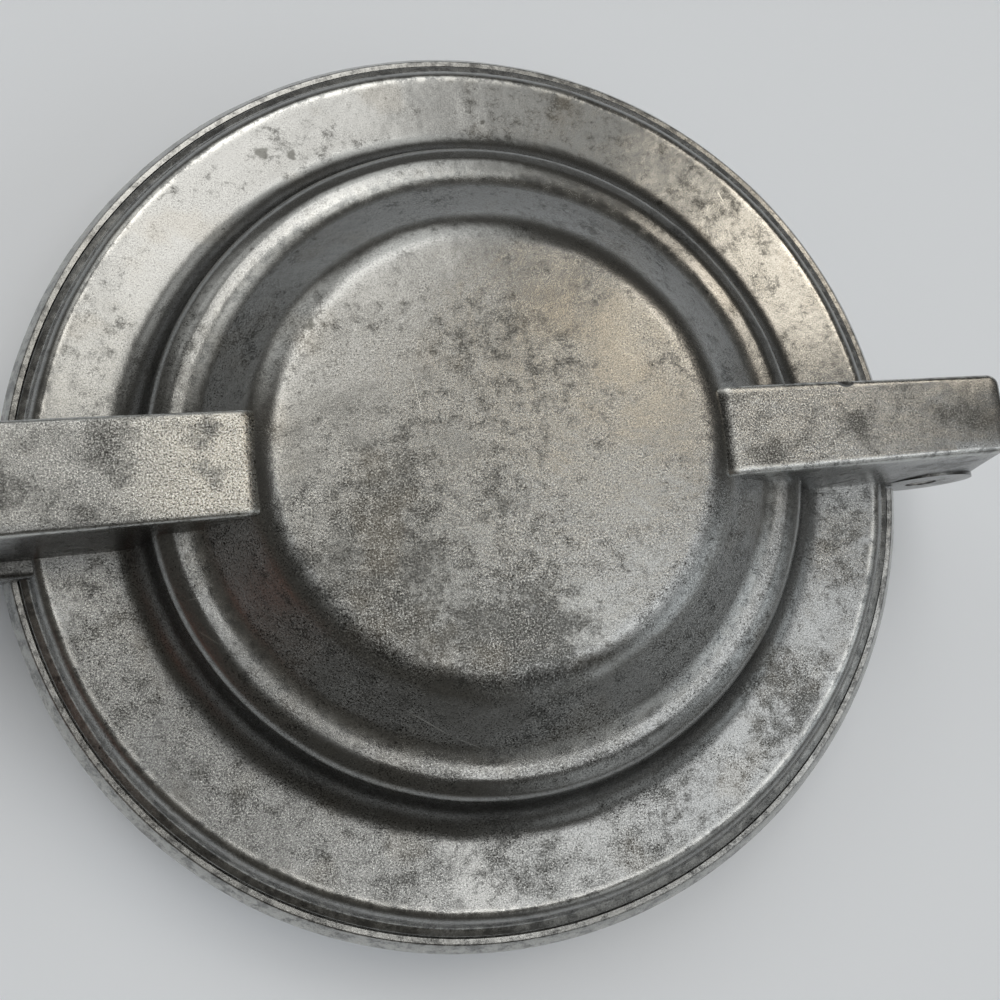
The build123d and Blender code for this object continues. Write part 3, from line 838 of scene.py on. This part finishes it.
def cast_aluminium():
    """Sand-cast aluminium dome: grit with painted glints, lacy stains, soot and painted shade in its creases,
    and rims rubbed bright with painted highlights.
    """
    material, tree, where = new_material("cast_aluminium_stained")
    plan = add(tree, "VectorMath", {0: where, 1: PLAN}, **MULTIPLY)
    radius = (add(tree, "VectorMath", {0: plan}, operation="LENGTH"), "Value")
    axes = add(tree, "SeparateXYZ", {0: where})
    gritty = by_radius(tree, radius, [
        (0, 0.9), (24, 1.0), (27, 1.0), (31, 1.2), (33.6, 1.1), (35.6, 0.8), (38.3, 0.7), (41, 0.7),
        (44.5, 0.9), (51.3, 0.9), (52.3, 0.7), (54.2, 1.0), (60, 1.0)])
    # Soot and painted shade: darker in the cove below the crest, in the steps of the rim and a little on the
    # slope
    crease_soot_and_shade = by_radius(tree, radius, [
        (0, 0.0), (27.2, 0.0), (30.0, 0.15), (32.4, 0.15), (33.6, 0.0), (36.5, 0.0), (38.8, 0.30),
        (39.8, 0.65), (41.2, 0.60), (43.5, 0.1), (45.5, 0.0), (51.0, 0.0), (52.6, 0.12), (53.4, 0.35),
        (55.0, 0.4), (55.6, 0.6), (56.2, 0.25), (60, 0.4)])
    # Rubbed wear and painted highlights: pale rings on the plateau's edge, the crest, the shoulder, the roll
    # and the rim
    edge_wear_and_highlight = by_radius(tree, radius, [
        (0, 0.0), (25.6, 0.0), (26.8, 0.2), (28.2, 0.0), (32.4, 0.0), (34.0, 0.5), (35.8, 0.0),
        (37.4, 0.0), (38.3, 0.15), (39.2, 0.0), (51.0, 0.0), (51.6, 0.9), (52.3, 0.1), (54.1, 0.5),
        (54.8, 0.2), (57.0, 0.6)])
    patches = add(tree, "TexNoise", {"Vector": where, **grain(10.0, 3.0, 0.6)})
    lace = add(tree, "TexNoise", {"Vector": where, **grain(1.9, 8.0, 0.80)})
    tints = add(tree, "TexNoise", {"Vector": where, **grain(9.0, 3.0)})
    grit = add(tree, "TexNoise", {"Vector": where, **grain(0.2, 3.0, 0.8)})
    jitter = add(tree, "TexNoise", {"Vector": where, **grain(1.1, 1.0)})
    waves = add(tree, "TexNoise", {"Vector": where, **grain(6.0, 3.0, 0.6)})
    front = add(tree, "MapRange", {"Value": (axes, 1), **between(42 * MM, -25 * MM, 0.45, 1.4)}, **SMOOTH)
    gathered = add(tree, "MapRange", {"Value": patches, **between(0.38, 0.60, 0.5, 1.0)}, **SMOOTH)
    gritty = add(tree, "Math", {0: gritty, 1: front}, **MULTIPLY)
    gritty = add(tree, "Math", {0: gritty, 1: gathered}, **MULTIPLY)
    likely = mood(tree, plan, STAINS, (lace, 0.95), (patches, 0.28))
    stained = add(tree, "MapRange", {"Value": likely, **between(0.595, 0.765)}, **SMOOTH)
    tinted = add(tree, "MapRange", {"Value": tints, **between(0.54, 0.70, 0.0, 0.16)}, **SMOOTH)
    pitted = add(tree, "MapRange", {"Value": grit, **between(0.46, 0.38)}, **SMOOTH)
    # Light specks of the grain, painted as glints
    bright = add(tree, "MapRange", {"Value": grit, **between(0.53, 0.63)}, **SMOOTH)
    clotted = add(tree, "MapRange", {"Value": lace, **between(0.60, 0.44, 0.45, 1.0)}, **SMOOTH)
    touched = add(tree, "MapRange", {"Value": lace, **between(0.40, 0.56)}, **SMOOTH)
    shift = add(tree, "VectorMath", {0: (jitter, 1), 1: (1.6, 1.6, 0), 2: (-0.8, -0.8, 0)}, **MULTIPLY_ADD)
    ragged = add(tree, "VectorMath", {0: shift, 1: plan}, operation="ADD")
    spots = total(tree, [spot(tree, ragged, x, y, size, 0.5) for x, y, size in SPOTS])
    scored = total(tree, [scratch(tree, plan, *place) for place in SCRATCHES])
    colour = laid(tree, chosen("metal"), chosen("stain"), stained)
    colour = laid(tree, colour, OXIDE, tinted)
    colour = laid(tree, colour, PIT, pitted, gritty, 0.85)
    # Light grain specks laid as painted glints
    colour = laid(tree, colour, srgb("B4B5B2"), bright, gritty, 0.65)
    # Soot tone laid as painted shade in the creases
    colour = laid(tree, colour, SOOT_AND_SHADE, crease_soot_and_shade, clotted)
    colour = laid(tree, colour, srgb("3C3C38"), spots, 0.7)
    colour = laid(tree, colour, RUBBED_AND_HIGHLIGHT, scored, 0.5)
    # Pale tone laid as rubbed wear and as painted highlight along the edges
    colour = laid(tree, colour, srgb("D2D2CE"), edge_wear_and_highlight, touched)
    rough = add(tree, "Math", {0: stained, 1: 0.10, 2: 0.18}, **MULTIPLY_ADD)
    rough = add(tree, "Math", {0: pitted, 1: 0.08, 2: rough}, **MULTIPLY_ADD)
    rough = add(tree, "Math", {0: crease_soot_and_shade, 1: 0.12, 2: rough}, **MULTIPLY_ADD)
    low = add(tree, "Bump", {"Height": waves, "Distance": 0.14 * MM, "Strength": 0.7})
    bump = add(tree, "Bump", {"Height": grit, "Distance": 0.023 * MM, "Strength": gritty, "Normal": low})
    metal_surface(tree, colour, rough, bump)
    return material


def arm_aluminium():
    """The same casting on its arms: soft dark blotches from handling, grit at the root with painted glints,
    painted shade at the root and towards the parting, a painted highlight on the handle arm's inner part, and
    bright edges, partly rubbed and partly painted highlight.
    """
    material, tree, where = new_material("cast_aluminium_arm")
    axes = add(tree, "SeparateXYZ", {0: where})
    plan = add(tree, "VectorMath", {0: where, 1: PLAN}, **MULTIPLY)
    along = add(tree, "Math", {0: (axes, 0)}, operation="ABSOLUTE")
    near = add(tree, "MapRange", {"Value": along, **between(55 * MM, 32 * MM, 0.55, 1.1)}, **SMOOTH)
    left = add(tree, "MapRange", {"Value": (axes, 0), **between(20 * MM, -20 * MM, 1.15, 1.35)}, **SMOOTH)
    gritty = add(tree, "Math", {0: near, 1: left}, **MULTIPLY)
    # Painted highlight: the inner part of the handle arm is laid in a lighter tone
    inner = add(tree, "MapRange", {"Value": (axes, 0), **between(-43 * MM, -31 * MM, 0.0, 0.85)}, **SMOOTH)
    handle = add(tree, "Math", {0: (axes, 0), 1: 0.0}, operation="LESS_THAN")
    # Painted shade in the crease where the arm's root meets the plateau
    root = between((ARM_START + 0.4) * MM, (ARM_START - 0.1) * MM)
    root_crease_shade = add(tree, "MapRange", {"Value": along, **root}, **SMOOTH)
    patches = add(tree, "TexNoise", {"Vector": where, **grain(6.5, 3.0, 0.55)})
    lace = add(tree, "TexNoise", {"Vector": where, **grain(2.2, 6.0, 0.7)})
    tints = add(tree, "TexNoise", {"Vector": where, **grain(6.0, 3.0)})
    grit = add(tree, "TexNoise", {"Vector": where, **grain(0.2, 3.0, 0.8)})
    waves = add(tree, "TexNoise", {"Vector": where, **grain(4.0, 2.0)})
    likely = mood(tree, plan, ARM_BLOTCHES, (lace, 0.6), (patches, 0.45))
    stained = add(tree, "MapRange", {"Value": likely, **between(0.495, 0.70)}, **SMOOTH)
    tinted = add(tree, "MapRange", {"Value": tints, **between(0.56, 0.70, 0.0, 0.05)}, **SMOOTH)
    pitted = add(tree, "MapRange", {"Value": grit, **between(0.475, 0.38)}, **SMOOTH)
    # Light specks of the grain, painted as glints
    bright = add(tree, "MapRange", {"Value": grit, **between(0.52, 0.62)}, **SMOOTH)
    touched = add(tree, "MapRange", {"Value": lace, **between(0.38, 0.52)}, **SMOOTH)
    width = between(-HANDLE_REACH * MM, 61 * MM, HANDLE_ARM_END / 2 * MM, HINGE_ARM_TIP / 2 * MM)
    half = add(tree, "MapRange", {"Value": (axes, 0), **width}, **SMOOTH)
    beside = add(tree, "Math", {0: (axes, 1)}, operation="ABSOLUTE")
    inset = add(tree, "Math", {0: half, 1: beside}, operation="SUBTRACT")
    rim = add(tree, "MapRange", {"Value": inset, **between(0.8 * MM, 0.25 * MM)}, **SMOOTH)
    offset = add(tree, "Math", {0: (axes, 2), 1: PARTING * MM}, operation="SUBTRACT")
    depth = add(tree, "Math", {0: offset}, operation="ABSOLUTE")
    high = add(tree, "MapRange", {"Value": depth, **between(15.6 * MM, 16.6 * MM)}, **SMOOTH)
    # Painted shade on the arm's sides towards the parting plane, where the two halves meet
    parting_shade = add(tree, "MapRange", {"Value": depth, **between(16.2 * MM, 11.0 * MM)}, **SMOOTH)
    # Lighter tone laid as a painted highlight on the inner part of the handle arm
    colour = laid(tree, chosen("metal"), srgb("B0AEA6"), inner, handle)
    colour = laid(tree, colour, chosen("stain"), stained)
    colour = laid(tree, colour, OXIDE, tinted)
    colour = laid(tree, colour, PIT, pitted, gritty, 0.7)
    # Light grain specks laid as painted glints
    colour = laid(tree, colour, srgb("C0C1BE"), bright, gritty, 0.6)
    # Soot tone laid as painted shade towards the parting plane
    colour = laid(tree, colour, SOOT_AND_SHADE, parting_shade, 0.5)
    # Soot tone laid as painted shade at the arm's root
    colour = laid(tree, colour, SOOT_AND_SHADE, root_crease_shade, 0.25)
    # Pale tone on the arm's top edges: partly rubbed wear, partly painted highlight
    colour = laid(tree, colour, RUBBED_AND_HIGHLIGHT, rim, high, touched, 0.75)
    rough = add(tree, "Math", {0: stained, 1: 0.14, 2: 0.20}, **MULTIPLY_ADD)
    rough = add(tree, "Math", {0: pitted, 1: 0.10, 2: rough}, **MULTIPLY_ADD)
    low = add(tree, "Bump", {"Height": waves, "Distance": 0.16 * MM, "Strength": 0.8})
    bump = add(tree, "Bump", {"Height": grit, "Distance": 0.029 * MM, "Strength": gritty, "Normal": low})
    metal_surface(tree, colour, rough, bump)
    return material


# Steels, each as: name, dark tone, light tone, roughness, drift of tone, size and depth of relief, stretch.
# The rods show drawing lines along their run and are browned and dulled by the fire.
DRAWN_STEEL = ("drawn_steel_heat_dulled", "68635D", "908D88", 0.30, 26.0, 0.5, 0.012, (0.04, 1, 1))
# The rivets and cross pins are hammered over, with smoke left in the hollows between the blows.
STRUCK_STEEL = ("mild_steel_struck", "453F3A", "8E8A85", 0.36, 1.5, 1.2, 0.07, (1, 1, 1))
# The hinge pin is ground steel with peened ends, dark where smoke has settled round them.
PIN_STEEL = ("mild_steel_pin_peened", "4A4641", "94918B", 0.30, 1.1, 0.5, 0.03, (1, 1, 1))
# The washers are stamped and dull, with a fine even tooth left by old zinc.
WASHER_STEEL = ("stamped_steel_zinc_dulled", "6A6966", "A09E99", 0.40, 2.0, 0.3, 0.012, (1, 1, 1))
# The ferrules are pressed and plated: the brightest metal here, rubbed grey by the hand in soft clouds.
FERRULE_STEEL = ("pressed_steel_plated_rubbed", "7E7B76", "B4B1AB", 0.22, 4.5, 0.35, 0.006, (1, 0.2, 0.2))
# The latch wire is hard drawn, nearly bright, with a faint haze of brown along it.
WIRE_STEEL = ("spring_wire_hard_drawn", "6C6862", "9A9791", 0.26, 5.0, 0.25, 0.008, (1, 1, 1))


def worn_steel(name, dark, light, rough, drift, tooth, depth, stretch):
    """Steel of two tones that drift into each other, rougher where it is dark, with a fine relief."""
    material, tree, where = new_material(name)
    drawn = add(tree, "VectorMath", {0: where, 1: stretch}, **MULTIPLY)
    cloud = add(tree, "TexNoise", {"Vector": where, **grain(drift, 6.0, 0.65)})
    specks = add(tree, "TexNoise", {"Vector": where, **grain(0.22, 2.0, 0.7)})
    lines = add(tree, "TexNoise", {"Vector": drawn, **grain(tooth, 3.0)})
    clean = add(tree, "MapRange", {"Value": cloud, **between(0.40, 0.60)}, **SMOOTH)
    specked = add(tree, "MapRange", {"Value": specks, **between(0.44, 0.36, 0.0, 0.6)}, **SMOOTH)
    shine = add(tree, "MapRange", {"Value": cloud, **between(0.40, 0.60, rough + 0.14, rough)}, **SMOOTH)
    colour = laid(tree, laid(tree, srgb(dark), srgb(light), clean), srgb("2A2521"), specked)
    bump = add(tree, "Bump", {"Height": lines, "Distance": depth * MM, "Strength": 0.6})
    metal_surface(tree, colour, shine, bump)
    return material


def stained_wood():
    """Turned hardwood, stained red-brown and varnished: dark pores along the grain under a thin gloss."""
    material, tree, where = new_material("hardwood_stained_varnished")
    along = add(tree, "VectorMath", {0: where, 1: (0.05, 1, 1)}, **MULTIPLY)
    rings = add(tree, "TexNoise", {"Vector": along, **grain(3.2, 3.0), "Distortion": 0.6})
    pores = add(tree, "TexNoise", {"Vector": along, **grain(0.35, 3.0)})
    pale = add(tree, "MapRange", {"Value": rings, **between(0.36, 0.64)})
    open_pore = add(tree, "MapRange", {"Value": pores, **between(0.48, 0.35, 0.0, 0.55)})
    colour = laid(tree, srgb("4A2413"), chosen("wood"), pale)
    colour = laid(tree, colour, srgb("1A0C06"), open_pore)
    bump = add(tree, "Bump", {"Height": pores, "Strength": 0.5, "Distance": 0.03 * MM})
    shader = add(tree, "BsdfPrincipled", {"Base Color": colour, "Normal": bump, "Roughness": 0.42,
                                          "Coat Weight": 0.35, "Coat Roughness": 0.2})
    add(tree, "OutputMaterial", {"Surface": shader})
    return material


def table_top():
    """Matt white laminate, plain and a little cool, that takes the iron's soft shadow."""
    material, tree, _ = new_material("table_top_matt_white")
    body = add(tree, "BsdfDiffuse", {"Color": srgb("E9EEF4")})
    add(tree, "OutputMaterial", {"Surface": body})
    return material


# ---- operators

def both(build, *materials):
    """Build a piece of each half."""
    for half in HALVES:
        build(half, list(materials))


class PIEIRON_OT_moulds(bpy.types.Operator):
    """Build the two cast half moulds with their arms"""

    bl_idname = "pie_iron.moulds"
    bl_label = "Half Moulds"

    def execute(self, context):
        both(shell, cast_aluminium(), arm_aluminium())
        return {"FINISHED"}


class PIEIRON_OT_hinge_pin(bpy.types.Operator):
    """Build the pin of the hinge"""

    bl_idname = "pie_iron.hinge_pin"
    bl_label = "Hinge Pin"

    def execute(self, context):
        hinge_pin([worn_steel(*PIN_STEEL)])
        return {"FINISHED"}


class PIEIRON_OT_rods(bpy.types.Operator):
    """Build the two handle rods"""

    bl_idname = "pie_iron.rods"
    bl_label = "Handle Rods"

    def execute(self, context):
        both(rod, worn_steel(*DRAWN_STEEL))
        return {"FINISHED"}


class PIEIRON_OT_fasteners(bpy.types.Operator):
    """Build the rivets of the arms, the pins of the grips and the washers at their butts"""

    bl_idname = "pie_iron.fasteners"
    bl_label = "Rivets, Pins and Washers"

    def execute(self, context):
        steel = worn_steel(*STRUCK_STEEL)
        stamped = worn_steel(*WASHER_STEEL)
        for half in HALVES:
            socket_rivet(half, [steel])
            grip_pin(half, [steel])
            butt_washer(half, [stamped])
        return {"FINISHED"}


class PIEIRON_OT_ferrules(bpy.types.Operator):
    """Build the half-round caps on the front of the grips"""

    bl_idname = "pie_iron.ferrules"
    bl_label = "Ferrules"

    def execute(self, context):
        both(ferrule, worn_steel(*FERRULE_STEEL))
        return {"FINISHED"}


class PIEIRON_OT_grips(bpy.types.Operator):
    """Build the two halves of the turned wooden barrel"""

    bl_idname = "pie_iron.grips"
    bl_label = "Grips"

    def execute(self, context):
        both(grip, stained_wood())
        return {"FINISHED"}


class PIEIRON_OT_latch(bpy.types.Operator):
    """Build the wire loop that holds the handles together"""

    bl_idname = "pie_iron.latch"
    bl_label = "Latch Loop"

    def execute(self, context):
        latch_loop([worn_steel(*WIRE_STEEL)])
        return {"FINISHED"}


class PIEIRON_OT_stage(bpy.types.Operator):
    """Set the floor, the light of the room and the camera"""

    bl_idname = "pie_iron.stage"
    bl_label = "Stage"

    def execute(self, context):
        scene = context.scene
        scene.view_settings.view_transform = "Standard"
        bm = bmesh.new()
        bmesh.ops.create_grid(bm, x_segments=1, y_segments=1, size=FLOOR_SIZE / MM)
        floor = as_object(bm, "floor")
        settle(floor, Matrix(), [table_top()])
        scene.world = soft_room()
        camera = bpy.data.objects.new("camera", bpy.data.cameras.new("camera"))
        camera.data.lens = CAMERA_LENS
        camera.data.sensor_width = SENSOR_WIDTH
        camera.data.clip_start = MM
        up = CAMERA_BACK.cross(CAMERA_RIGHT)
        camera.matrix_world = Matrix.Translation(Vector(CAMERA_PLACE) * MM) @ Matrix(
            (CAMERA_RIGHT, up, CAMERA_BACK)).transposed().to_4x4()
        scene.collection.objects.link(camera)
        scene.camera = camera
        return {"FINISHED"}


# Soft boxes of light: name, azimuth and elevation of the middle, and how far from it the light is full and
# where it ends, all four in degrees, then colour and strength
SOFT_BOXES = [
    ("back", 100, 60, 4, 17, "FFFCF8", 2.00),
    ("back_low", 92, 42, 4, 19, "FCFCFA", 1.30),
    ("back_left", 120, 66, 3, 12, "FFFCF6", 0.75),
    ("left_window", 126, 75, 3, 7, "FFF8EC", 2.15),
    ("left_high", 176, 75, 2, 9, "FFFFFF", 1.80),
    ("left_front", 225, 69, 4, 14, "FFFFFF", 0.30),
    ("front_high", 288, 75, 2, 10, "FFFCF8", 2.10),
    ("window_left", 74, 71, 2, 6, "FFFAF2", 1.70),
    ("window_right", 16, 77, 2, 8, "FFFEFA", 2.50),
    ("bulb_high", 41, 66.5, 0.5, 4.5, "FFEACC", 4.00),
    ("bulb_middle", 37, 57, 2, 8, "FFF6E6", 2.20),
    ("bulb_low", 36, 50, 3, 10, "FFF2E2", 2.50),
    ("right", 344, 61, 5, 17, "FAFCFF", 1.80),
    ("right_high", 303, 72, 2, 10, "FAFCFF", 1.20),
    ("back_right", 62, 56, 2, 9, "FCFCFA", 0.60),
    ("low_left", 128, 34, 4, 18, "FCFCFA", 0.90),
    ("low_front", 300, 30, 3, 18, "F8FCFF", 0.60),
    ("low_right", 337, 29, 4, 20, "F4FAFF", 1.10),
    ("ember", 203, 20, 3, 13, "B8562E", 0.20),
]


def direction(azimuth, elevation):
    """Unit vector towards a place of the room, given in degrees."""
    a, e = math.radians(azimuth), math.radians(elevation)
    return Vector((math.cos(a) * math.cos(e), math.sin(a) * math.cos(e), math.sin(e)))


def soft_room():
    """A dim room, paler towards the foot of its walls, and lit by the soft boxes."""
    world = bpy.data.worlds.new("room")
    world.use_nodes = True
    tree = world.node_tree
    tree.nodes.clear()
    where = add(tree, "TexCoord", {})
    height = (add(tree, "SeparateXYZ", {0: (where, "Generated")}), 2)
    wall = add(tree, "MapRange", {"Value": height, **between(math.sin(DIM_ABOVE), math.sin(PALE_BELOW))},
               **SMOOTH)
    light = laid(tree, srgb("54524E"), srgb("8E8E8D"), wall)
    for _, azimuth, elevation, full, fade, colour, power in SOFT_BOXES:
        facing = add(tree, "VectorMath", {0: (where, "Generated"), 1: direction(azimuth, elevation)},
                     operation="DOT_PRODUCT")
        edge, core = math.cos(math.radians(fade)), math.cos(math.radians(full))
        share = add(tree, "MapRange", {"Value": (facing, "Value"), **between(edge, core, 0.0, power)},
                    **SMOOTH)
        tint = add(tree, "VectorMath", {0: srgb(colour)[:3], "Scale": share}, operation="SCALE")
        light = add(tree, "VectorMath", {0: light, 1: tint}, operation="ADD")
    glow = add(tree, "Background", {"Color": light, "Strength": ROOM_STRENGTH})
    add(tree, "OutputWorld", {"Surface": glow})
    return world


class PIEIRON_PT_panel(bpy.types.Panel):
    """Shows the finish of the pie iron and the pieces to build"""

    bl_label = "Pie Iron"
    bl_idname = "PIEIRON_PT_panel"
    bl_space_type = "VIEW_3D"
    bl_region_type = "UI"
    bl_category = "Pie Iron"

    def draw(self, context):
        layout = self.layout
        for name in ("metal", "stain", "wood", "waviness"):
            layout.prop(context.scene.pie_iron_finish, name)
        for operator in OPERATORS:
            layout.operator(operator.bl_idname)


OPERATORS = [PIEIRON_OT_moulds, PIEIRON_OT_hinge_pin, PIEIRON_OT_rods, PIEIRON_OT_fasteners,
             PIEIRON_OT_ferrules, PIEIRON_OT_grips, PIEIRON_OT_latch, PIEIRON_OT_stage]
CLASSES = [PieIronFinish] + OPERATORS + [PIEIRON_PT_panel]


def register():
    """Add the classes and the finish to Blender."""
    for cls in CLASSES:
        bpy.utils.register_class(cls)
    bpy.types.Scene.pie_iron_finish = bpy.props.PointerProperty(type=PieIronFinish)


def unregister():
    """Take the classes and the finish out again."""
    del bpy.types.Scene.pie_iron_finish
    for cls in reversed(CLASSES):
        bpy.utils.unregister_class(cls)


def main():
    """Build the whole iron on its stage."""
    register()
    for operator in OPERATORS:
        getattr(bpy.ops.pie_iron, operator.bl_idname.split(".")[1])()


if __name__ == "__main__":
    main()
